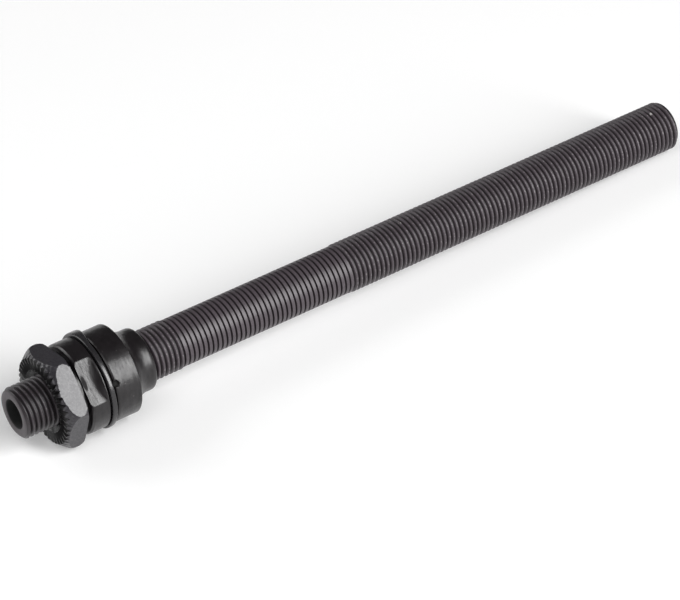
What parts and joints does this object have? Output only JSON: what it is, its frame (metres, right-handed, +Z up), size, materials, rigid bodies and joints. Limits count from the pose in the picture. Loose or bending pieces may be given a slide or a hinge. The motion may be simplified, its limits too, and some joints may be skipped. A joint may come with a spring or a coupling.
{
  "type": "bicycle hub axle",
  "caption": "Hollow threaded hub axle lying on its side, with a serrated locknut jammed against a ball-race cone that carries a rubber dust seal.",
  "frame": {"origin": "middle of the skewer bore, on the axle's own axis", "axes": "+X along the axle towards the long bare end, +Z up as the axle lies; the locknut and the cone are at the -X end"},
  "size_m": [0.146, 0.0194, 0.0184],
  "materials": {
    "axle_steel": "dark grey phosphated steel, matt, with a slight warm tint",
    "nut_steel": "blackened steel, satin, broad soft shine on the flats",
    "cone_steel": "black oxide on hardened steel, smooth, with a broad shine",
    "seal_rubber": "black rubber, slightly shiny where it is moulded smooth"
  },
  "bodies": {
    "axle": {"axle": "axle_steel"},
    "locknut": {"locknut": "nut_steel"},
    "seal": {"seal_ring": "seal_rubber"},
    "cone": {"cone": "cone_steel"}
  },
  "joints": [
    {"name": "cone_travel", "type": "slide", "parent": "axle", "child": "seal", "axis": [1, 0, 0], "range_m": [0, 0.1197]},
    {"name": "cone_turn", "type": "hinge", "parent": "seal", "child": "cone", "pos_m": [-0.055, 0, 0], "axis": [1, 0, 0], "range_deg": [0, 43092]},
    {"name": "nut_travel", "type": "slide", "parent": "axle", "child": "locknut", "axis": [-1, 0, 0], "range_m": [0, 0.0105]}
  ],
  "couplings": [
    {"joint": "cone_travel", "follows": "cone_turn", "m_per_rad": 0.00015915}
  ]
}
